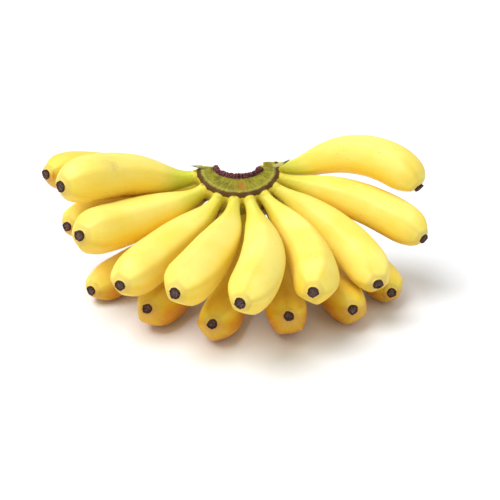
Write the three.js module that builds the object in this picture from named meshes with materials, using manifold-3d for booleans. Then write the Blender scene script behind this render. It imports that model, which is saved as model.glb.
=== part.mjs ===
// A hand of small dessert bananas: two rows of fingers round the end of one cut crown.
// It lies on the bellies of its lower row, with the crown held up in the air behind them.
//
// Millimetres and degrees. +X is the hand's right, -Y is the way the fingers fan out, +Z is up.
// The origin is under the middle of the whole hand, on the surface it rests on.
import * as THREE from 'three';
import { mergeVertices } from 'three/addons/utils/BufferGeometryUtils.js';
import Module from 'manifold-3d';

// ---- Crown: half a ring of stalk tissue, cut across at the top ----
const CROWN_CENTRE = new THREE.Vector3(-0.3, 10.9, 88.1); // middle of the cut face's arc
const CROWN_TILT = 18; // how far the cut face leans towards the fingers
const CROWN_ARC = 94; // the arc runs this far each way from straight ahead
const CROWN_STEP = 9.4;
// Past the cut face each horn rounds off: angle round the crown, part of the section left.
const HORN_ENDS = [[101, 0.86], [107, 0.6]];
const HORN_CORE = [23, -11]; // the section shrinks about this point
const FACE_RADIUS = 27.2; // outer edge of the green cut face
// Section of the half ring. Outer side: distance from the crown's axis, height above the cut face.
const CROWN_OUTSIDE = [
  [27.2, 0.0], [28.7, -2.6], [28.9, -7.0], [27.8, -12.0], [26.2, -17.6], [22.0, -22.4], [21.0, -25.0],
  [20.8, -40.0],
];
// Inner side, with the raised lip the stalk left: distance out from the notch, height.
const CROWN_INSIDE = [
  [2.2, -42.0], [0, -37.0], [0, -10.0], [0, 0.6], [0.8, 2.4], [2.4, 2.3], [3.3, 0.3],
];
// The notch is an oval, shallower ahead than to the sides.
const NOTCH_AHEAD = 8.6;
const NOTCH_SIDE = 14.2;

// ---- Fingers ----
const SIDES = 15; // three to each of the five soft ridges
const RIDGES = 5;
const RIDGE_DEPTH = 0.055; // how far the flats lie in from the ridges, as a part of the radius
const SPINE_STEPS = 30;
const NECK_END = 0.25; // where the neck's direction is reached, as a part of the length
// Radius along a finger, as a part of its largest radius: pedicel, neck, belly, blossom end.
const GIRTH = [
  [0, 0.33], [0.06, 0.35], [0.14, 0.48], [0.25, 0.70], [0.4, 0.87], [0.55, 0.96], [0.7, 1.0],
  [0.82, 0.985], [0.90, 0.87], [0.945, 0.70], [0.972, 0.46], [0.988, 0.27], [1, 0.26],
];
const RING_STATIONS = [0, 0.06, 0.13, 0.2, 0.3, 0.42, 0.55, 0.7, 0.82, 0.9, 0.945, 0.972, 0.988, 1];
const NUB_DISH = { radius: 0.17, depth: 1.2 }; // hollow in the dried blossom end
const PEDICEL_SQUEEZE = 0.78; // width over height where the pedicels crowd at the crown
const SQUEEZE_END = 0.18;
const SEAT_GAP = 0.3; // between a pedicel's end and its seat on the crown
const SEAT_DEPTH = 12; // how far a seat reaches back into the crown

// Each row leaves the crown at its own height below the cut face, its own distance out
// from the edge of that face, and its own angle down. For each finger:
// place: angle round the crown, 0 straight ahead and + to the right.
// neck, tip: heading and dip of the finger's axis there; heading 0 is straight ahead.
// roll turns the ridges. A finger that rests is let down until its belly meets the surface.
const ROWS = {
  upper: {
    below: 6.5,
    out: 2.5,
    droop: 15,
    fingers: [
      { place: -86, neck: [-70, -17], tip: [-41, 0], length: 106, radius: 17.6, roll: 20 },
      { place: -55, neck: [-68, 12], tip: [-31, -13], length: 104, radius: 17.2, roll: 5 },
      { place: -28, neck: [-48, 20], tip: [-27, 3], length: 106, radius: 16.4, roll: 40 },
      { place: -5, neck: [-17, 11], tip: [-26, -1], length: 113, radius: 17.0, roll: 30 },
      { place: 16, neck: [9, 7], tip: [-25, -1], length: 128, radius: 16.4, roll: 30 },
      { place: 38, neck: [36, 21], tip: [-14, -3], length: 111, radius: 16.4, roll: 55 },
      { place: 60, neck: [67, 29], tip: [11, 8], length: 111, radius: 15.8, roll: 10 },
      { place: 82, neck: [83, 11], tip: [42, 18], length: 114, radius: 15.4, roll: 35 },
      { place: 105, neck: [82, -28], tip: [46, 39], length: 112, radius: 16.0, roll: 0 },
    ],
  },
  lower: {
    below: 19,
    out: -1.5,
    droop: 45,
    fingers: [
      { place: -103, neck: [-106, -14], tip: [-38, -8], length: 127, radius: 15.4, roll: 25 },
      { place: -74, neck: [-95, 2], tip: [-31, -4], length: 110, radius: 15.4, roll: 50 },
      { place: -43, neck: [-111, 36], tip: [-30, -3], length: 117, radius: 15.2, roll: 15, rests: true },
      { place: -19, neck: [-62, 53], tip: [-14, -31], length: 113, radius: 15.0, roll: 45, rests: true },
      { place: 6, neck: [-16, 49], tip: [-12, -28], length: 113, radius: 15.0, roll: 0, rests: true },
      { place: 29, neck: [27, 53], tip: [-3, -36], length: 116, radius: 15.0, roll: 30, rests: true },
      { place: 51, neck: [71, 48], tip: [2, -23], length: 122, radius: 15.2, roll: 60, rests: true },
      { place: 73, neck: [105, 37], tip: [5, -8], length: 130, radius: 15.0, roll: 20, rests: true },
    ],
  },
};

// Two fingers that never grew: dried scraps on the crown's horns.
const SCRAPS = [
  {
    name: 'undeveloped_finger_right',
    place: 88, out: -2.0, above: 2.6, heading: 84, dip: -26, length: 12.5, radius: 1.9,
  },
  {
    name: 'undeveloped_finger_left',
    place: -89, out: -2.0, above: 2.2, heading: -86, dip: -4, length: 8, radius: 1.5,
  },
];

// ---- Materials ----
const peelMaterial = new THREE.MeshStandardMaterial({ color: 0xf2cf45, roughness: 0.5, metalness: 0 });
const crownMaterial = new THREE.MeshStandardMaterial({ color: 0x8f8a3c, roughness: 0.75, metalness: 0 });
const scrapMaterial = new THREE.MeshStandardMaterial({ color: 0x6f6340, roughness: 0.85, metalness: 0 });

const wasm = await Module();
wasm.setup();

const radians = THREE.MathUtils.degToRad;
const tilt = radians(CROWN_TILT);
const crownAxis = new THREE.Vector3(0, -Math.sin(tilt), Math.cos(tilt));
const crownAhead = new THREE.Vector3(0, -Math.cos(tilt), -Math.sin(tilt));

function direction([heading, dip]) {
  const h = radians(heading), d = radians(dip);
  return new THREE.Vector3(Math.sin(h) * Math.cos(d), -Math.cos(h) * Math.cos(d), -Math.sin(d));
}

function between(a, b, t) {
  const angle = a.angleTo(b);
  if (angle < 1e-5) return a.clone();
  return a.clone().multiplyScalar(Math.sin((1 - t) * angle))
    .addScaledVector(b, Math.sin(t * angle)).divideScalar(Math.sin(angle));
}

function curveValue(table, s) {
  const i = Math.max(1, table.findIndex(([at]) => at >= s));
  const [[s0, v0], [s1, v1]] = [table[i - 1], table[i]];
  return v0 + (v1 - v0) * (s - s0) / (s1 - s0);
}

// Outward from the crown's axis, in the plane of its cut face.
function outward(place) {
  return new THREE.Vector3(Math.sin(radians(place)), 0, 0)
    .addScaledVector(crownAhead, Math.cos(radians(place)));
}

function onCrown(place, radius, height) {
  return CROWN_CENTRE.clone().addScaledVector(outward(place), radius).addScaledVector(crownAxis, height);
}

function rootOf(finger) {
  const row = ROWS[finger.row];
  const droop = radians(row.droop);
  return {
    point: onCrown(finger.place, FACE_RADIUS + row.out, -row.below),
    way: outward(finger.place).multiplyScalar(Math.cos(droop)).addScaledVector(crownAxis, -Math.sin(droop)),
  };
}

// The finger's centre line: its direction turns from the seat's to the neck's to the tip's.
function spineOf(finger) {
  const root = rootOf(finger);
  const neck = direction(finger.neck), tip = direction(finger.tip);
  const raw = [];
  for (let i = 0; i <= SPINE_STEPS; i++) {
    const s = i / SPINE_STEPS;
    raw.push(s < NECK_END ? between(root.way, neck, s / NECK_END)
      : between(neck, tip, (s - NECK_END) / (1 - NECK_END)));
  }
  const weights = [1, 2, 3, 2, 1];
  const ways = raw.map((_, i) => weights.reduce((sum, w, k) => {
    const j = Math.min(SPINE_STEPS, Math.max(0, i + k - 2));
    return sum.addScaledVector(raw[j], w);
  }, new THREE.Vector3()).normalize());
  ways[0] = root.way; // square to its seat
  const points = [root.point];
  for (let i = 1; i <= SPINE_STEPS; i++) {
    const step = ways[i - 1].clone().add(ways[i]).multiplyScalar(finger.length / SPINE_STEPS / 2);
    points.push(points[i - 1].clone().add(step));
  }
  return { points, ways };
}

function spineAt(spine, s) {
  const x = s * SPINE_STEPS, i = Math.min(SPINE_STEPS - 1, Math.floor(x)), t = x - i;
  return {
    point: spine.points[i].clone().lerp(spine.points[i + 1], t),
    way: spine.ways[i].clone().lerp(spine.ways[i + 1], t).normalize(),
  };
}

// A closed solid through rings of equal count, with a fan at each end.
function skin(rings) {
  const count = rings[0].length;
  const points = rings.flat();
  const centre = (ring) => ring.reduce((sum, p) => sum.add(p), new THREE.Vector3()).divideScalar(count);
  const first = points.push(centre(rings[0])) - 1;
  const last = points.push(centre(rings[rings.length - 1])) - 1;
  const faces = [];
  const end = (rings.length - 1) * count;
  for (let j = 0; j < count; j++) {
    const k = (j + 1) % count;
    for (let i = 0; i < end; i += count) {
      faces.push(i + j, i + k, i + count + k, i + j, i + count + k, i + count + j);
    }
    faces.push(first, k, j, last, end + j, end + k);
  }
  return solid(points.flatMap((p) => [p.x, p.y, p.z]), faces);
}

function solid(positions, faces) {
  const geometry = new THREE.BufferGeometry();
  geometry.setAttribute('position', new THREE.Float32BufferAttribute(positions, 3));
  geometry.setIndex(faces);
  return geometry;
}

// A ring round the centre line. across lies in the face of the crown, up is square to it.
function ringAt({ point, way }, across, radius, wide, shape) {
  const up = new THREE.Vector3().crossVectors(way, across);
  return Array.from({ length: SIDES }, (_, j) => {
    const angle = 2 * Math.PI * j / SIDES;
    const r = radius * shape(angle);
    return point.clone().addScaledVector(across, r * wide * Math.cos(angle))
      .addScaledVector(up, r * Math.sin(angle));
  });
}

function fingerRings(finger) {
  const spine = spineOf(finger);
  const roll = radians(finger.roll);
  // The ridges fade out on the pedicel and round the blossom end.
  const ridged = (s) => (angle) => {
    const depth = RIDGE_DEPTH * THREE.MathUtils.smoothstep(s, 0.08, 0.3)
      * (1 - THREE.MathUtils.smoothstep(s, 0.9, 0.98));
    return 1 - depth * (0.5 - 0.5 * Math.cos(RIDGES * angle));
  };
  let across = new THREE.Vector3().crossVectors(spine.ways[0], crownAxis).normalize();
  const rings = RING_STATIONS.map((s) => {
    const place = spineAt(spine, s);
    across.addScaledVector(place.way, -across.dot(place.way)).normalize();
    const turned = across.clone().applyAxisAngle(place.way, roll * THREE.MathUtils.smoothstep(s, 0, 0.3));
    const squeeze = THREE.MathUtils.lerp(PEDICEL_SQUEEZE, 1, Math.min(1, s / SQUEEZE_END));
    if (s === 0) place.point.addScaledVector(place.way, SEAT_GAP);
    return ringAt(place, turned, finger.radius * curveValue(GIRTH, s), squeeze, ridged(s));
  });
  const tip = spineAt(spine, 1);
  tip.point.addScaledVector(tip.way, -NUB_DISH.depth);
  const turned = across.clone().applyAxisAngle(tip.way, roll);
  rings.push(ringAt(tip, turned, finger.radius * NUB_DISH.radius, 1, () => 1));
  return rings;
}

const lowest = (rings) => Math.min(...rings.flat().map((p) => p.z));

// Lets a resting finger down, by more dip at its neck, until it just meets the surface.
function settle(finger) {
  let low = -8, high = 8;
  for (let i = 0; i < 24; i++) {
    const more = (low + high) / 2;
    const tried = { ...finger, neck: [finger.neck[0], finger.neck[1] + more] };
    if (lowest(fingerRings(tried)) > 0) low = more; else high = more;
  }
  return { ...finger, neck: [finger.neck[0], finger.neck[1] + low] };
}

// The pedicel's root, merged with the crown: a short cone from inside the ring to the seat.
function seatRings(finger) {
  const { point, way } = rootOf(finger);
  const across = new THREE.Vector3().crossVectors(way, crownAxis).normalize();
  const radius = finger.radius * GIRTH[0][1];
  return [-SEAT_DEPTH, 0].map((back) => ringAt(
    { point: point.clone().addScaledVector(way, back), way },
    across, radius * (back ? 0.9 : 1), PEDICEL_SQUEEZE, () => 1,
  ));
}

function scrapRings(scrap) {
  const way = direction([scrap.heading, scrap.dip]);
  const start = onCrown(scrap.place, FACE_RADIUS + scrap.out, scrap.above);
  const across = new THREE.Vector3().crossVectors(way, crownAxis).normalize();
  return [[0, 0.9], [0.35, 1], [0.75, 0.75], [1, 0.35]].map(([s, width]) => ringAt(
    { point: start.clone().addScaledVector(way, s * scrap.length), way },
    across, scrap.radius * width, 1, () => 1,
  ));
}

function toManifold(geometry) {
  const merged = mergeVertices(geometry, 1e-4);
  return new wasm.Manifold(new wasm.Mesh({
    numProp: 3,
    vertProperties: merged.attributes.position.array,
    triVerts: Uint32Array.from(merged.index.array),
  }));
}

function fromManifold(manifold) {
  const { vertProperties, triVerts } = manifold.getMesh();
  return solid(Array.from(vertProperties), Array.from(triVerts));
}

function crownGeometry(fingers) {
  const [coreRadius, coreHeight] = HORN_CORE;
  const sectionAt = (place, size) => {
    const angle = radians(place);
    const notch = 1 / Math.hypot(Math.cos(angle) / NOTCH_AHEAD, Math.sin(angle) / NOTCH_SIDE);
    const inside = CROWN_INSIDE.map(([out, height]) => [notch + out, height]);
    return [...CROWN_OUTSIDE, ...inside].map(([radius, height]) => onCrown(
      place, coreRadius + (radius - coreRadius) * size, coreHeight + (height - coreHeight) * size,
    ));
  };
  const rings = [];
  for (let place = -CROWN_ARC; place < CROWN_ARC + 1; place += CROWN_STEP) rings.push(sectionAt(place, 1));
  for (const [place, size] of HORN_ENDS) {
    rings.unshift(sectionAt(-place, size));
    rings.push(sectionAt(place, size));
  }
  let crown = toManifold(skin(rings));
  for (const finger of fingers) crown = crown.add(toManifold(skin(seatRings(finger))));
  return fromManifold(crown);
}

const hand = new THREE.Group();
const fingers = Object.entries(ROWS).flatMap(([row, { fingers: places }]) => places.map((finger, i) => {
  const named = { ...finger, name: `banana_${row}_${i + 1}`, row };
  return finger.rests ? settle(named) : named;
}));

function addMesh(name, geometry, material) {
  const mesh = new THREE.Mesh(geometry, material);
  mesh.name = name;
  hand.add(mesh);
}

addMesh('crown', crownGeometry(fingers), crownMaterial);
for (const finger of fingers) addMesh(finger.name, skin(fingerRings(finger)), peelMaterial);
for (const scrap of SCRAPS) addMesh(scrap.name, skin(scrapRings(scrap)), scrapMaterial);

// Stand the hand on its resting fingers, with the origin under its middle.
const box = new THREE.Box3().setFromObject(hand);
const middle = box.getCenter(new THREE.Vector3());
for (const mesh of hand.children) {
  mesh.geometry.translate(-middle.x, -middle.y, -box.min.z);
  mesh.geometry.computeVertexNormals();
}

export default hand;
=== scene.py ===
"""A hand of small ripe bananas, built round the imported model: smooth ridged fingers with
corky blossom ends, a cut crown with its dried rim, and two dried undeveloped fingers."""

import math

import bmesh
import bpy
import numpy as np
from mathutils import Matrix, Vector


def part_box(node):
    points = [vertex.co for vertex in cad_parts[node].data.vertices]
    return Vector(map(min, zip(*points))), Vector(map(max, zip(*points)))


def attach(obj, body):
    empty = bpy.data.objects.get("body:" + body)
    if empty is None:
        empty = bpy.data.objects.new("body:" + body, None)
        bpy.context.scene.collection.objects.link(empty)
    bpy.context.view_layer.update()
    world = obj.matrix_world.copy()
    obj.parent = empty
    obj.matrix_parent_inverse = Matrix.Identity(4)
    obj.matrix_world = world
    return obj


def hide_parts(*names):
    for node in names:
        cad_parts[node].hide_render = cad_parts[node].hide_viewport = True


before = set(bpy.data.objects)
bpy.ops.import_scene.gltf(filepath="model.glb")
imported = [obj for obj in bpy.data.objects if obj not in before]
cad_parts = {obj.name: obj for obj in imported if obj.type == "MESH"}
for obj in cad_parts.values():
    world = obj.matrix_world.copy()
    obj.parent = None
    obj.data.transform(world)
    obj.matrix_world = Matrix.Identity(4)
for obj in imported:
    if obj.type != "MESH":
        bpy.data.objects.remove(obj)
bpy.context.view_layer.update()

MM = 0.001
SIDES = 15                      # vertices in each ring of a CAD finger
AROUND = 60                     # vertices round a finger here
ALONG = 104                     # rows from the pedicel to the blossom end
SEED = 11

UPPER = [f"banana_upper_{i}" for i in range(1, 10)]
LOWER = [f"banana_lower_{i}" for i in range(1, 9)]
SCRAPS = ["undeveloped_finger_right", "undeveloped_finger_left"]

# The crown's own axes: its cut face leans CROWN_TILT towards the fingers.
CROWN_TILT = math.radians(18)
NOTCH_AHEAD, NOTCH_SIDE = 8.6, 14.2     # half sizes of the oval notch in the crown, mm
CENTRE_FROM_LOW = np.array([31.15, 29.2, 44.47]) * MM    # from the low corner of the crown's box
CROWN_CENTRE = np.array(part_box("crown")[0]) + CENTRE_FROM_LOW
AXIS = np.array([0, -math.sin(CROWN_TILT), math.cos(CROWN_TILT)])
AHEAD = np.array([0, -math.cos(CROWN_TILT), -math.sin(CROWN_TILT)])
SIDEWAYS = np.array([1.0, 0, 0])


def unit(v):
    return v / np.linalg.norm(v)


def smoothstep(x, a, b):
    t = np.clip((np.asarray(x, float) - a) / (b - a), 0, 1)
    return t * t * (3 - 2 * t)


def bump_at(x, centre, width):
    return np.exp(-((np.asarray(x, float) - centre) / width) ** 2)


# ---------------------------------------------------------------- CAD rings
def cad_rings(node):
    """The node's rings of vertices, root first, found by walking back from its tip."""
    bm = bmesh.new()
    bm.from_mesh(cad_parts[node].data)
    bmesh.ops.remove_doubles(bm, verts=bm.verts, dist=1e-5)
    poles = [v for v in bm.verts if len(v.link_edges) == SIDES]
    tip = min(poles, key=lambda v: sum(e.calc_length() for e in v.link_edges))
    layers, seen = [[tip]], {tip}
    while layers[-1]:
        following = []
        for v in layers[-1]:
            for e in v.link_edges:
                w = e.other_vert(v)
                if w not in seen:
                    seen.add(w)
                    following.append(w)
        layers.append(following)
    rings = [np.array([v.co[:] for v in layer]) for layer in layers if len(layer) == SIDES]
    bm.free()
    return rings[::-1]


def hermite(x, xs, ys):
    """Smooth curve through (xs, ys), with slopes from the neighbours."""
    ys = np.asarray(ys, float)
    slopes = np.gradient(ys, xs, axis=0)
    i = np.clip(np.searchsorted(xs, x, side="right") - 1, 0, len(xs) - 2)
    h = xs[i + 1] - xs[i]
    t = (x - xs[i]) / h
    if ys.ndim > 1:
        t, h = t[:, None], h[:, None]
    a, b, ma, mb = ys[i], ys[i + 1], slopes[i] * h, slopes[i + 1] * h
    return ((2 * t**3 - 3 * t**2 + 1) * a + (t**3 - 2 * t**2 + t) * ma
            + (-2 * t**3 + 3 * t**2) * b + (t**3 - t**2) * mb)


class Spine:
    """Centre line of a CAD finger, with frames that don't twist."""

    def __init__(self, node, rings):
        centres = np.array([r.mean(0) for r in rings])
        self.radii = np.array([np.linalg.norm(r - c, axis=1).max() for r, c in zip(rings, centres)])
        steps = np.linalg.norm(np.diff(centres, axis=0), axis=1)
        self.at = np.concatenate([[0], np.cumsum(steps)])
        self.centres = centres
        self.length = self.at[-1]
        start = unit(centres[1] - centres[0])
        self.start_across = unit(np.cross(start, AXIS))

    def points(self, distances):
        inside = np.clip(distances, 0, self.length)
        p = hermite(inside, self.at, self.centres)
        eps = 0.0004
        a = hermite(np.clip(inside - eps, 0, self.length), self.at, self.centres)
        b = hermite(np.clip(inside + eps, 0, self.length), self.at, self.centres)
        ways = (b - a) / np.linalg.norm(b - a, axis=1)[:, None]
        p = p + ways * (distances - inside)[:, None]
        across, ups = [], []
        side = self.start_across
        for w in ways:
            side = unit(side - w * (side @ w))
            across.append(side)
            ups.append(np.cross(w, side))
        return p, ways, np.array(across), np.array(ups)

    def radius(self, distances):
        return np.interp(distances, self.at, self.radii)


# ---------------------------------------------------------------- meshes
def grid_mesh(name, rows, close_start=False, pole=None, attributes=None):
    """A tube mesh from rows of points, (row, column, 3), with an optional pole at its end."""
    n, m = rows.shape[:2]
    verts = rows.reshape(-1, 3)
    faces = []
    for i in range(n - 1):
        for j in range(m):
            k = (j + 1) % m
            faces.append((i * m + j, i * m + k, (i + 1) * m + k, (i + 1) * m + j))
    extra = []
    if close_start:
        extra.append(rows[0].mean(0))
        c = n * m + len(extra) - 1
        faces += [(c, (j + 1) % m, j) for j in range(m)]
    if pole is not None:
        extra.append(pole)
        c = n * m + len(extra) - 1
        base = (n - 1) * m
        faces += [(c, base + j, base + (j + 1) % m) for j in range(m)]
    if extra:
        verts = np.vstack([verts, np.array(extra)])
    mesh = bpy.data.meshes.new(name)
    mesh.from_pydata(verts.tolist(), [], faces)
    for key, values in (attributes or {}).items():
        values = np.asarray(values, float)
        kind = "FLOAT_VECTOR" if values.ndim == 3 else "FLOAT"
        flat = values.reshape(n * m, -1)
        tail = [flat[:m].mean(0)] * bool(close_start) + [flat[-m:].mean(0)] * (pole is not None)
        flat = np.vstack([flat] + [t[None] for t in tail])
        layer = mesh.attributes.new(key, kind, "POINT")
        layer.data.foreach_set("vector" if kind == "FLOAT_VECTOR" else "value",
                               flat.astype(np.float32).ravel())
    mesh.shade_smooth()
    mesh.validate()
    return mesh


def add_object(name, mesh, material, node):
    obj = bpy.data.objects.new(name, mesh)
    bpy.context.scene.collection.objects.link(obj)
    mesh.materials.append(material)
    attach(obj, "root")
    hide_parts(node)
    return obj


# ---------------------------------------------------------------- node helpers
class Nodes:
    """Short calls that build a material's node tree."""

    def __init__(self, name):
        self.material = bpy.data.materials.new(name)
        self.material.use_nodes = True
        self.tree = self.material.node_tree
        self.bsdf = self.tree.nodes["Principled BSDF"]

    def link(self, source, target):
        self.tree.links.new(source, target)

    def put(self, socket, value):
        if isinstance(value, bpy.types.NodeSocket):
            self.link(value, socket)
        elif isinstance(value, tuple) and len(value) == 3 and socket.type == "RGBA":
            socket.default_value = (*value, 1)
        else:
            socket.default_value = value

    def attribute(self, name, output="Fac"):
        node = self.tree.nodes.new("ShaderNodeAttribute")
        node.attribute_name = name
        return node.outputs[output]

    def math(self, operation, a, b=0.0, clamp=False):
        node = self.tree.nodes.new("ShaderNodeMath")
        node.operation, node.use_clamp = operation, clamp
        self.put(node.inputs[0], a)
        self.put(node.inputs[1], b)
        return node.outputs[0]

    def mix(self, factor, a, b):
        node = self.tree.nodes.new("ShaderNodeMix")
        node.data_type = "RGBA"
        self.put(node.inputs[0], factor)
        self.put(node.inputs[6], a)
        self.put(node.inputs[7], b)
        return node.outputs[2]

    def scale(self, vector, by):
        node = self.tree.nodes.new("ShaderNodeVectorMath")
        node.operation = "MULTIPLY"
        self.put(node.inputs[0], vector)
        node.inputs[1].default_value = by
        return node.outputs[0]

    def noise(self, vector, scale, detail=3.0, rough=0.55):
        node = self.tree.nodes.new("ShaderNodeTexNoise")
        self.put(node.inputs["Vector"], vector)
        node.inputs["Scale"].default_value = scale
        node.inputs["Detail"].default_value = detail
        node.inputs["Roughness"].default_value = rough
        return node.outputs[0]

    def voronoi(self, vector, scale):
        node = self.tree.nodes.new("ShaderNodeTexVoronoi")
        self.put(node.inputs["Vector"], vector)
        node.inputs["Scale"].default_value = scale
        return node.outputs["Distance"]

    def band(self, value, low, high):
        """0 below low, 1 above high; reversed when low is above high."""
        node = self.tree.nodes.new("ShaderNodeMapRange")
        node.interpolation_type = "SMOOTHSTEP"
        self.put(node.inputs["Value"], value)
        flip = low > high
        node.inputs["From Min"].default_value = high if flip else low
        node.inputs["From Max"].default_value = low if flip else high
        node.inputs["To Min"].default_value = 1.0 if flip else 0.0
        node.inputs["To Max"].default_value = 0.0 if flip else 1.0
        return node.outputs[0]

    def bump(self, height, strength, distance, normal=None):
        node = self.tree.nodes.new("ShaderNodeBump")
        node.inputs["Strength"].default_value = strength
        node.inputs["Distance"].default_value = distance
        self.put(node.inputs["Height"], height)
        if normal is not None:
            self.link(normal, node.inputs["Normal"])
        return node.outputs[0]


def srgb(r, g, b):
    """Linear colour from the usual 0-255 values."""
    return tuple(((c / 255 + 0.055) / 1.055) ** 2.4 if c > 10 else c / 255 / 12.92 for c in (r, g, b))


def peel_material():
    n = Nodes("banana_peel")
    skin = n.attribute("skin", "Vector")
    along = n.scale(skin, (1, 1, 0.12))
    broad = n.noise(skin, 38, 3, 0.5)
    fibre = n.noise(along, 620, 3, 0.6)
    mottled = n.noise(skin, 240, 4, 0.6)
    colour = n.mix(n.band(broad, 0.35, 0.7), srgb(249, 235, 128), srgb(246, 223, 96))
    # Painted shade: where the tone rises (the lower row, and peel facing down or sideways) the yellow
    # deepens towards orange; the small random part is the finger's own tone.
    tone_and_painted_shade = n.attribute("tone_and_painted_shade")
    colour = n.mix(tone_and_painted_shade, colour, srgb(245, 199, 0))
    colour = n.mix(n.band(tone_and_painted_shade, 0.5, 1.0), colour, srgb(222, 146, 2))
    colour = n.mix(n.math("MULTIPLY", n.band(fibre, 0.35, 0.75), 0.16), colour, srgb(255, 236, 130))
    ridge = n.math("MULTIPLY", n.attribute("ridge"), 0.30)
    colour = n.mix(ridge, colour, srgb(216, 170, 36))
    green = n.math("MULTIPLY", n.attribute("green"),
                   n.math("ADD", n.math("MULTIPLY", mottled, 0.7), 0.65), clamp=True)
    colour = n.mix(green, colour, srgb(204, 206, 56))
    # Small brown specks, more of them in some places than in others.
    speck = n.band(n.voronoi(skin, 210), 0.13, 0.05)
    speck = n.math("MULTIPLY", speck, n.band(n.noise(skin, 95, 2), 0.52, 0.66))
    colour = n.mix(n.math("MULTIPLY", speck, 0.55), colour, srgb(150, 104, 30))
    smudge = n.math("MULTIPLY", n.attribute("smudge"), n.band(mottled, 0.1, 0.8))
    colour = n.mix(n.math("MULTIPLY", smudge, 0.55), colour, srgb(182, 152, 74))
    bruise = n.math("MULTIPLY", n.attribute("bruise"), n.band(mottled, 0.25, 0.6))
    colour = n.mix(n.math("MULTIPLY", bruise, 0.8), colour, srgb(168, 98, 18))
    colour = n.mix(n.math("MULTIPLY", n.attribute("halo"), 0.5), colour, srgb(206, 176, 92))
    # The blossom end: dark cork, purplish, with a paler, greyer heart.
    cork = n.mix(n.band(mottled, 0.3, 0.7), srgb(34, 19, 17), srgb(92, 62, 54))
    heart = n.math("MULTIPLY", n.attribute("heart"), n.band(n.noise(skin, 420, 3), 0.42, 0.6))
    cork = n.mix(n.math("MULTIPLY", heart, 0.85), cork, srgb(158, 128, 118))
    uneven = n.math("MULTIPLY", n.math("SUBTRACT", mottled, 0.5), 0.5)
    nub = n.band(n.math("ADD", n.attribute("nub"), uneven), 0.35, 0.6)
    colour = n.mix(nub, colour, cork)
    n.put(n.bsdf.inputs["Base Color"], colour)
    rough = n.math("ADD", n.math("MULTIPLY", nub, 0.32), n.math("MULTIPLY", broad, 0.14))
    n.put(n.bsdf.inputs["Roughness"], n.math("ADD", rough, 0.38))
    n.bsdf.inputs["Specular IOR Level"].default_value = 0.3
    n.bsdf.inputs["Subsurface Weight"].default_value = 0.12
    n.bsdf.inputs["Subsurface Radius"].default_value = (1.0, 0.6, 0.15)
    n.bsdf.inputs["Subsurface Scale"].default_value = 0.002
    wrinkle = n.math("MULTIPLY", n.noise(n.scale(skin, (0.35, 0.35, 1.6)), 700, 2), n.attribute("neck"))
    soft = n.bump(n.noise(skin, 130, 2), 0.25, 0.0008)
    lines = n.bump(fibre, 0.22, 0.0004, soft)
    rings = n.bump(wrinkle, 0.6, 0.0006, lines)
    rugged = n.bump(n.math("MULTIPLY", n.noise(skin, 900, 4), nub), 0.9, 0.0009, rings)
    n.link(rugged, n.bsdf.inputs["Normal"])
    return n.material


def crown_material():
    n = Nodes("banana_crown")
    polar = n.attribute("polar", "Vector")
    fibres = n.noise(n.scale(polar, (0.14, 1, 1)), 900, 3, 0.65)
    blotch = n.noise(polar, 130, 3, 0.6)
    fine = n.noise(polar, 700, 4, 0.65)
    skin = n.mix(n.band(blotch, 0.35, 0.7), srgb(236, 220, 84), srgb(216, 202, 66))
    # Painted shade: the crevices between the pedicels are darkened.
    skin = n.mix(n.band(n.attribute("painted_crevice_shade"), 0.2, 0.9), skin, srgb(96, 70, 14))
    skin = n.mix(n.math("MULTIPLY", n.attribute("shade"), 0.8), skin, srgb(104, 80, 22))
    face = n.mix(n.band(fibres, 0.3, 0.7), srgb(112, 110, 14), srgb(162, 154, 32))
    face = n.mix(n.math("MULTIPLY", n.band(blotch, 0.45, 0.7), 0.7), face, srgb(104, 88, 22))
    face = n.mix(n.math("MULTIPLY", n.attribute("pale"), 0.4), face, srgb(200, 192, 104))
    face = n.mix(n.math("MULTIPLY", n.attribute("stain"), 0.75), face, srgb(172, 108, 16))
    colour = n.mix(n.attribute("face"), skin, face)
    ragged = n.math("MULTIPLY", n.math("SUBTRACT", fine, 0.5), 0.7)
    rim = n.band(n.math("ADD", n.attribute("rim"), ragged), 0.4, 0.65)
    colour = n.mix(rim, colour, n.mix(fine, srgb(62, 36, 10), srgb(118, 78, 28)))
    lip = n.band(n.math("ADD", n.attribute("lip"), ragged), 0.4, 0.6)
    dried = n.mix(n.band(fibres, 0.35, 0.7), srgb(52, 20, 26), srgb(148, 84, 84))
    colour = n.mix(lip, colour, dried)
    n.put(n.bsdf.inputs["Base Color"], colour)
    n.put(n.bsdf.inputs["Roughness"], n.math("ADD", n.math("MULTIPLY", lip, 0.2), 0.6))
    n.bsdf.inputs["Specular IOR Level"].default_value = 0.3
    grain = n.bump(fibres, 0.6, 0.0007)
    n.link(n.bump(n.math("MULTIPLY", fine, n.math("MAXIMUM", lip, rim)), 0.9, 0.0010, grain),
           n.bsdf.inputs["Normal"])
    return n.material


def dried_material():
    n = Nodes("dried_finger")
    skin = n.attribute("skin", "Vector")
    fibre = n.noise(n.scale(skin, (1, 1, 0.2)), 1500, 3, 0.6)
    base = n.mix(fibre, srgb(150, 150, 84), srgb(202, 200, 138))
    dark = n.mix(fibre, srgb(38, 28, 22), srgb(84, 62, 44))
    n.put(n.bsdf.inputs["Base Color"], n.mix(n.attribute("withered"), base, dark))
    n.bsdf.inputs["Roughness"].default_value = 0.8
    n.link(n.bump(fibre, 0.9, 0.0006), n.bsdf.inputs["Normal"])
    return n.material


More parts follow.
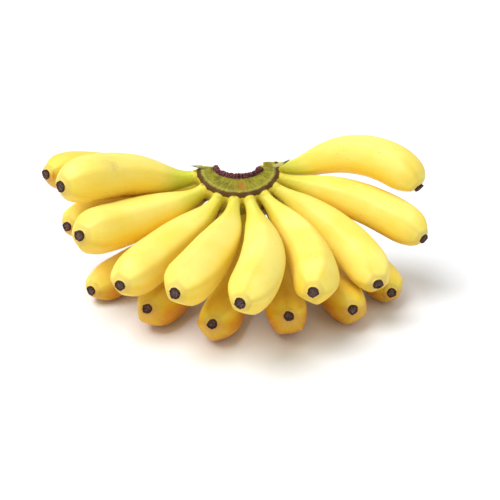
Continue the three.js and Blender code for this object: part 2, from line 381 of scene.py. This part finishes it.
# ---------------------------------------------------------------- fingers
def ridge_profile(rng, sharp):
    """Radius round a finger's rounded, uneven five-sided section, and where its ridges are."""
    corners = np.cumsum(72 + rng.uniform(-9, 9, 5))
    corners = np.radians(corners * 360 / corners[-1] + rng.uniform(0, 360)) % (2 * np.pi)
    corners.sort()
    fine = np.radians(np.arange(0, 360, 1.0))
    after = np.searchsorted(corners, fine) % 5
    low, high = corners[after - 1], corners[after]
    span = (high - low) % (2 * np.pi)
    from_middle = ((fine - low) % (2 * np.pi)) - span / 2
    shape = np.cos(span / 2) / np.cos(from_middle)
    crest = np.clip(1 - (span / 2 - abs(from_middle)) / math.radians(14), 0, 1)
    kernel = np.exp(-0.5 * (np.arange(-24, 25) / sharp) ** 2)
    kernel /= kernel.sum()
    smooth = np.convolve(np.concatenate([shape[-24:], shape, shape[:24]]), kernel, "valid")
    smooth /= smooth.max()
    return fine, smooth, crest


# Blossom end: distance back from the tip in mm, part of the finger's radius.
NUB = [
    (2.7, 0.385), (2.3, 0.312), (1.95, 0.262), (1.65, 0.230), (1.4, 0.214), (1.2, 0.210), (1.0, 0.213),
    (0.75, 0.220), (0.5, 0.224), (0.25, 0.220), (0.05, 0.207), (0.0, 0.189), (0.15, 0.168),
    (0.45, 0.143), (0.8, 0.117), (1.0, 0.088), (0.95, 0.060), (0.55, 0.038), (0.2, 0.020),
]
NUB_START = 3.2                 # mm back from the tip, where the plain body ends
NUB_SHOULDER = 12               # rows of the blossom end outside its heart
ROOT_BACK = 4.5 * MM            # how far a pedicel runs on into the crown
PEDICEL_SQUEEZE, SQUEEZE_END = 0.78, 0.18   # width over height at the crown, and where it's over
SKIN_INSET = 0.99               # keeps the waves and ridges inside the CAD finger

# Marks on single fingers: kind, part of the length, way it faces, half length, half angle.
MARKS = {
    "banana_upper_1": [
        ("smudge", 0.66, (0.2, -0.62, 0.78), 0.07, 26),
        ("bruise", 0.54, (0, -0.84, -0.54), 0.18, 17),
    ],
    "banana_upper_8": [("bruise", 0.72, (0, -0.7, -0.7), 0.14, 13)],
}
GREEN_NECKS = {
    "banana_upper_1": 0.95,
    "banana_upper_2": 0.6,
    "banana_upper_8": 0.5,
    "banana_upper_9": 0.7,
}


def make_finger(index, node, material):
    rng = np.random.default_rng(SEED + index)
    spine = Spine(node, cad_rings(node)[:-1])
    length = spine.length
    belly = spine.radii.max()
    body_end = length - NUB_START * MM
    body = -ROOT_BACK + (body_end + ROOT_BACK) * np.linspace(0, 1, ALONG)
    nub_back = np.array([d for d, _ in NUB]) * MM
    distance = np.concatenate([body, length - nub_back])
    s = np.clip(distance / length, 0, 1)
    nub_radius = np.array([part for _, part in NUB]) * belly
    radius = np.concatenate([spine.radius(np.maximum(body, 0)), nub_radius])
    # Soften the CAD's straight stretches between its rings.
    kernel = np.exp(-0.5 * (np.arange(-5, 6) / 2.2) ** 2)
    taper = radius[ALONG - 1] - radius[ALONG - 2]
    beyond = radius[ALONG - 1] + taper * np.arange(1, 6)
    padded = np.concatenate([[radius[0]] * 5, radius[:ALONG], beyond])
    radius[:ALONG] = np.convolve(padded, kernel / kernel.sum(), "valid")
    radius[:ALONG] *= SKIN_INSET

    p, ways, across, up = spine.points(distance)
    theta = np.linspace(0, 2 * np.pi, AROUND, endpoint=False)
    fine, section, crest = ridge_profile(rng, rng.uniform(3.2, 5.5))
    section = np.interp(theta, np.append(fine, 2 * np.pi), np.append(section, section[0]))
    crest = np.interp(theta, np.append(fine, 2 * np.pi), np.append(crest, crest[0]))
    depth = rng.uniform(0.36, 0.56)
    is_nub = np.arange(len(s)) >= ALONG
    k = depth * (0.55 + 0.45 * smoothstep(s, 0.02, 0.2)) + 0.22 * smoothstep(s, 0.84, 0.95)
    k = np.where(is_nub, 0.06, k)
    grow = 1 - k[:, None] * (1 - section[None, :])
    # Slow waves in the surface, and small lobes round the corky end.
    wave = sum(a * np.sin(m * theta[None, :] + f * 2 * np.pi * s[:, None] + rng.uniform(0, 6.3))
               for m, f, a in [(1, 1.3, 0.006), (2, 2.1, 0.005), (3, 3.4, 0.003), (1, 5.2, 0.0022)])
    grow = grow * (1 + wave * smoothstep(s, 0.05, 0.25)[:, None] - 0.012)
    lobes = sum(depth_of * np.sin(count * theta + rng.uniform(0, 2 * math.pi))
                for count, depth_of in [(2, 0.05), (3, 0.045), (5, 0.045), (9, 0.04), (14, 0.03)])
    last = smoothstep(length - distance, 2.2 * MM, 0.4 * MM)[:, None]
    grow = np.where(is_nub[:, None], grow * (1 + last * lobes[None, :]), grow)
    # Fine rings of wrinkles on the pedicel.
    neck = smoothstep(s, 0.3, 0.08)
    wrinkles = np.sin(distance / MM * 2.3 + 0.8 * np.sin(distance / MM * 0.9))[:, None]
    grow = grow * (1 + 0.008 * (smoothstep(s, 0.2, 0.1) * smoothstep(s, 0.0, 0.02))[:, None] * wrinkles
                   * (0.6 + 0.4 * np.sin(2 * theta + rng.uniform(0, 6)))[None, :])
    squeeze = PEDICEL_SQUEEZE + (1 - PEDICEL_SQUEEZE) * np.clip(s / SQUEEZE_END, 0, 1)
    reach = radius[:, None] * grow
    rows = (p[:, None, :]
            + (reach * squeeze[:, None] * np.cos(theta)[None, :])[..., None] * across[:, None, :]
            + (reach * np.sin(theta)[None, :])[..., None] * up[:, None, :])
    rows[..., 2] = np.maximum(rows[..., 2], 0.00002)

    shape = rows.shape[:2]
    full = np.ones(shape)
    offset = rng.uniform(-1, 1, 3)
    skin = np.stack([belly * np.cos(theta)[None, :] * full + offset[0],
                     belly * np.sin(theta)[None, :] * full + offset[1],
                     distance[:, None] * full + offset[2]], -1)
    from_tip = (length - distance) / MM
    heart_rows = smoothstep(np.arange(len(NUB) - NUB_SHOULDER), 0, 3)
    inner = np.concatenate([np.zeros(ALONG + NUB_SHOULDER), heart_rows])
    necks = GREEN_NECKS.get(node, rng.uniform(0.25, 0.45))
    green = (smoothstep(s, 0.32, 0.05) * necks)[:, None] * full
    green_stretch = (smoothstep(s, 0.35, 0.12) * smoothstep(s, 0.0, 0.1))[:, None]
    green = green + 0.30 * green_stretch * crest[None, :]
    lower_row = "lower" in node
    green = green + (0.30 if lower_row else 0.16) * bump_at(from_tip, 5.5, 3.0)[:, None] * full
    # Painted shade: the lower row, lying under the upper one, gets a deeper yellow; the small random
    # part is the finger's own tone.
    tone_and_painted_shade = (0.44 if lower_row else 0.02) + rng.uniform(0, 0.14)
    # Painted shade: peel turned down or sideways gets a deeper yellow than peel facing up to the light.
    facing_up = across[:, 2:] * np.cos(theta)[None, :] + up[:, 2:] * np.sin(theta)[None, :]
    shaded = smoothstep(facing_up, 0.75, -0.35)
    degrees = np.degrees(theta)
    marks = {"smudge": np.zeros(shape), "bruise": np.zeros(shape)}
    for kind, at, facing, half_length, half_angle in MARKS.get(node, []):
        row = abs(s - at).argmin()
        angle = math.degrees(math.atan2(up[row] @ facing, across[row] @ facing))
        turn = (degrees - angle + 180) % 360 - 180
        marks[kind] = np.maximum(marks[kind], bump_at(s, at, half_length)[:, None]
                                 * bump_at(turn, 0, half_angle)[None, :])
    attributes = {
        "skin": skin,
        "green": np.clip(green, 0, 1),
        "tone_and_painted_shade": np.clip(tone_and_painted_shade + 0.5 * shaded, 0, 1),
        "ridge": crest[None, :] * (0.35 + 0.65 * smoothstep(s, 0.7, 0.95))[:, None] * (~is_nub)[:, None],
        "halo": bump_at(from_tip, 2.6, 0.9)[:, None] * full,
        "nub": (smoothstep(from_tip, 1.85, 1.2) * is_nub)[:, None] * full,
        "heart": inner[:, None] * full,
        "neck": neck[:, None] * full,
        **marks,
    }
    pole = p[-1] + ways[-1] * 0.05 * MM
    mesh = grid_mesh(node, rows, close_start=True, pole=pole, attributes=attributes)
    return add_object("finger_" + node.replace("banana_", ""), mesh, material, node), spine


# ---------------------------------------------------------------- crown
def neighbours_mean(count, edges, values):
    total = np.zeros_like(values)
    np.add.at(total, edges[:, 0], values[edges[:, 1]])
    np.add.at(total, edges[:, 1], values[edges[:, 0]])
    degree = np.bincount(edges.ravel(), minlength=count).astype(float)
    return total / degree[:, None]


def crown_places(co):
    """Distance from the crown's axis, height above its cut face and angle round it."""
    v = co - CROWN_CENTRE
    ahead, side, height = v @ AHEAD, v @ SIDEWAYS, v @ AXIS
    return np.hypot(ahead, side), height, np.arctan2(side, ahead)


def make_crown(spines, material):
    bm = bmesh.new()
    bm.from_mesh(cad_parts["crown"].data)
    bmesh.ops.remove_doubles(bm, verts=bm.verts, dist=1e-5)
    for spine in spines:
        # The pedicel's skin runs out of the crown and thins away under the finger's own.
        at = np.array([-3.0, 0.0, 1.5, 3.0, 5.0]) * MM
        width = np.array([1.0, 1.05, 1.04, 0.98, 0.90])
        p, _, across, up = spine.points(at)
        theta = np.linspace(0, 2 * np.pi, 24, endpoint=False)
        rows = []
        for i in range(len(at)):
            r = spine.radii[0] * width[i]
            wide = r * PEDICEL_SQUEEZE
            rows.append([
                bm.verts.new(p[i] + wide * math.cos(a) * across[i] + r * math.sin(a) * up[i])
                for a in theta
            ])
        for a, b in zip(rows, rows[1:]):
            for j in range(len(theta)):
                bm.faces.new((a[j], a[j - 1], b[j - 1], b[j]))
        bm.faces.new(rows[0])
        bm.faces.new(rows[-1][::-1])
    bmesh.ops.recalc_face_normals(bm, faces=bm.faces)
    rough = bpy.data.meshes.new("crown_rough")
    bm.to_mesh(rough)
    bm.free()
    shell = bpy.data.objects.new("crown_rough", rough)
    bpy.context.scene.collection.objects.link(shell)
    remesh = shell.modifiers.new("voxels", "REMESH")
    remesh.mode, remesh.voxel_size = "VOXEL", 0.55 * MM
    bpy.context.view_layer.update()
    mesh = bpy.data.meshes.new_from_object(shell.evaluated_get(bpy.context.evaluated_depsgraph_get()))
    bpy.data.objects.remove(shell)
    mesh.name = "crown_cut"
    count = len(mesh.vertices)
    co = np.empty(count * 3)
    mesh.vertices.foreach_get("co", co)
    co = co.reshape(-1, 3)
    edges = np.empty(len(mesh.edges) * 2, np.int64)
    mesh.edges.foreach_get("vertices", edges)
    edges = edges.reshape(-1, 2)
    start = co.copy()
    radius, height, angle = crown_places(co)
    on_face = smoothstep(height, -1.8 * MM, -0.6 * MM)
    for step in range(22):
        pull = 0.5 * (1 - on_face) + (0.5 * on_face if step < 5 else 0)
        co = co + pull[:, None] * (neighbours_mean(count, edges, co) - co)
    mesh.vertices.foreach_set("co", co.ravel())
    mesh.update()
    normals = np.empty(count * 3)
    mesh.vertices.foreach_get("normal", normals)
    normals = normals.reshape(-1, 3)
    # Painted shade: hollows that the smoothing pulled in, where the pedicels meet the crown, are marked
    # for darkening.
    painted_crevice_shade = np.clip(((co - start) * normals).sum(1) / (0.9 * MM), 0, 1)
    for _ in range(6):
        painted_crevice_shade = painted_crevice_shade + 0.5 * (neighbours_mean(count, edges, painted_crevice_shade[:, None])[:, 0] - painted_crevice_shade)

    radius, height, angle = crown_places(co)
    r, h = radius / MM, height / MM
    deg = np.degrees(angle)
    ragged = (np.sin(deg * 0.41 + 1.3) + 0.7 * np.sin(deg * 0.93) + 0.5 * np.sin(deg * 2.1 + 0.6)) / 2.2
    out = r - 1 / np.hypot(np.cos(angle) / NOTCH_AHEAD, np.sin(angle) / NOTCH_SIDE)
    lip = smoothstep(out, 4.6 + 0.8 * ragged.clip(-1, 1), 3.2) * smoothstep(h, -2.6, -0.6)
    lip = lip * smoothstep(abs(deg + 3), 93, 84)
    inner_wall = smoothstep(out, 2.4, 1.0) * smoothstep(h, -0.6, -2.6)
    rim_edge = 26.5 + 0.3 * ragged
    rim = (smoothstep(r, rim_edge, rim_edge + 0.6) * smoothstep(r, 29.7, 29.1)
           * smoothstep(h, -3.5 - 0.4 * ragged, -2.7))
    face = smoothstep(h, -1.2, -0.5) * smoothstep(out, 2.6, 3.8)
    knobs = bump_at(deg, 80, 7) * smoothstep(h, -0.5, 0.5)
    fibres = np.sin(deg * 3.1) + np.sin(deg * 5.7 + 2) + np.sin(deg * 9.3 + r * 0.8)
    raise_by = (0.30 * rim + lip * (0.45 + 0.35 * np.sin(deg * 1.7) + 0.28 * np.sin(deg * 4.3 + r)
                                    + 0.22 * np.sin(deg * 8.1 + 2.0 * r)) + 0.9 * knobs * lip
                + 0.07 * face * (1 - rim) * (1 - lip) * fibres)
    co = co + normals * (raise_by * MM)[:, None]
    mesh.vertices.foreach_set("co", co.ravel())
    polar = np.stack([radius, angle * 22 * MM, height], -1)
    values = {
        "lip": np.maximum(lip, inner_wall * 0.9), "rim": rim, "face": face, "painted_crevice_shade": painted_crevice_shade,
        "pale": bump_at(r, 25.2, 0.55) * face,
        "stain": bump_at(deg, 7, 9) * bump_at(r, 19.5, 5.0) * face,
        "shade": smoothstep(h, -9, -20),
    }
    for key, value in values.items():
        mesh.attributes.new(key, "FLOAT", "POINT").data.foreach_set("value", value.astype(np.float32))
    places = mesh.attributes.new("polar", "FLOAT_VECTOR", "POINT")
    places.data.foreach_set("vector", polar.astype(np.float32).ravel())
    mesh.materials.clear()
    mesh.shade_smooth()
    return add_object("crown_cut", mesh, material, "crown")


def make_scrap(index, node, material):
    rng = np.random.default_rng(SEED + 50 + index)
    rings = cad_rings(node)
    spine = Spine(node, rings)
    distance = np.linspace(0, spine.length, 40)
    s = distance / spine.length
    theta = np.linspace(0, 2 * np.pi, 20, endpoint=False)
    p, ways, across, up = spine.points(distance)
    bend = 0.9 * MM * np.sin(s * math.pi) * (1 if index == 0 else 0.5)
    p = p + up * bend[:, None]
    swelling = 0.62 + 0.38 * np.sin(np.pi * np.clip(s * 1.3, 0, 1))
    width = spine.radii.max() * swelling * np.sqrt(np.clip(1.02 - s, 0.02, 1))
    folds = (1 + 0.16 * np.sin(3 * theta[None, :] + 5 * s[:, None])
             + 0.09 * np.sin(7 * theta[None, :] + rng.uniform(0, 6)))
    reach = width[:, None] * folds
    rows = (p[:, None, :] + (reach * 0.95 * np.cos(theta))[..., None] * across[:, None, :]
            + (reach * 0.62 * np.sin(theta))[..., None] * up[:, None, :])
    full = np.ones(rows.shape[:2])
    attributes = {
        "skin": rows,
        "withered": smoothstep(s, 0.45, 0.75)[:, None] * full,
    }
    pole = p[-1] + ways[-1] * 0.1 * MM
    mesh = grid_mesh(node, rows, close_start=True, pole=pole, attributes=attributes)
    return add_object("scrap_" + node.split("_")[-1], mesh, material, node)


peel = peel_material()
spines = []
for index, node in enumerate(UPPER + LOWER):
    spines.append(make_finger(index, node, peel)[1])
make_crown(spines, crown_material())
dried = dried_material()
for index, node in enumerate(SCRAPS):
    make_scrap(index, node, dried)

# ---------------------------------------------------------------- floor, light, camera
floor_mesh = bpy.data.meshes.new("floor")
floor_mesh.from_pydata([(-4, -4, 0), (4, -4, 0), (4, 6, 0), (-4, 6, 0)], [], [(0, 1, 2, 3)])
floor = bpy.data.objects.new("floor", floor_mesh)
bpy.context.scene.collection.objects.link(floor)
paper = Nodes("floor_paper")
paper.bsdf.inputs["Base Color"].default_value = (0.88, 0.90, 0.93, 1)
paper.bsdf.inputs["Roughness"].default_value = 0.9
paper.bsdf.inputs["Specular IOR Level"].default_value = 0.0
floor_mesh.materials.append(paper.material)

SKY_POWER = 0.62
KEY_POWER, KEY_SPREAD = 2.55, math.radians(40)
KEY_FROM = (-0.45, -0.20, 1.0)

scene = bpy.context.scene
scene.view_settings.view_transform = "Standard"
world = bpy.data.worlds.new("studio")
scene.world = world
world.use_nodes = True
world.node_tree.nodes["Background"].inputs["Color"].default_value = (1, 1, 1, 1)
world.node_tree.nodes["Background"].inputs["Strength"].default_value = SKY_POWER


key_data = bpy.data.lights.new("key", "SUN")
key_data.energy, key_data.angle = KEY_POWER, KEY_SPREAD
key = bpy.data.objects.new("key", key_data)
scene.collection.objects.link(key)
key.rotation_euler = (-Vector(KEY_FROM)).to_track_quat("-Z", "Y").to_euler()

# The camera looks down at the hand from the front, a little to one side of its middle.
CAMERA_RISE = math.radians(25)
CAMERA_AWAY = 0.85
CAMERA_TARGET = CROWN_CENTRE + np.array([8.35, -10.9, -58.75]) * MM
camera_data = bpy.data.cameras.new("camera")
camera_data.lens, camera_data.sensor_width = 85, 36
camera_data.clip_end = 20
camera = bpy.data.objects.new("camera", camera_data)
scene.collection.objects.link(camera)
towards_camera = np.array([0, -math.cos(CAMERA_RISE), math.sin(CAMERA_RISE)])
camera.location = CAMERA_TARGET + CAMERA_AWAY * towards_camera
camera.rotation_euler = (math.pi / 2 - CAMERA_RISE, 0, 0)
scene.camera = camera
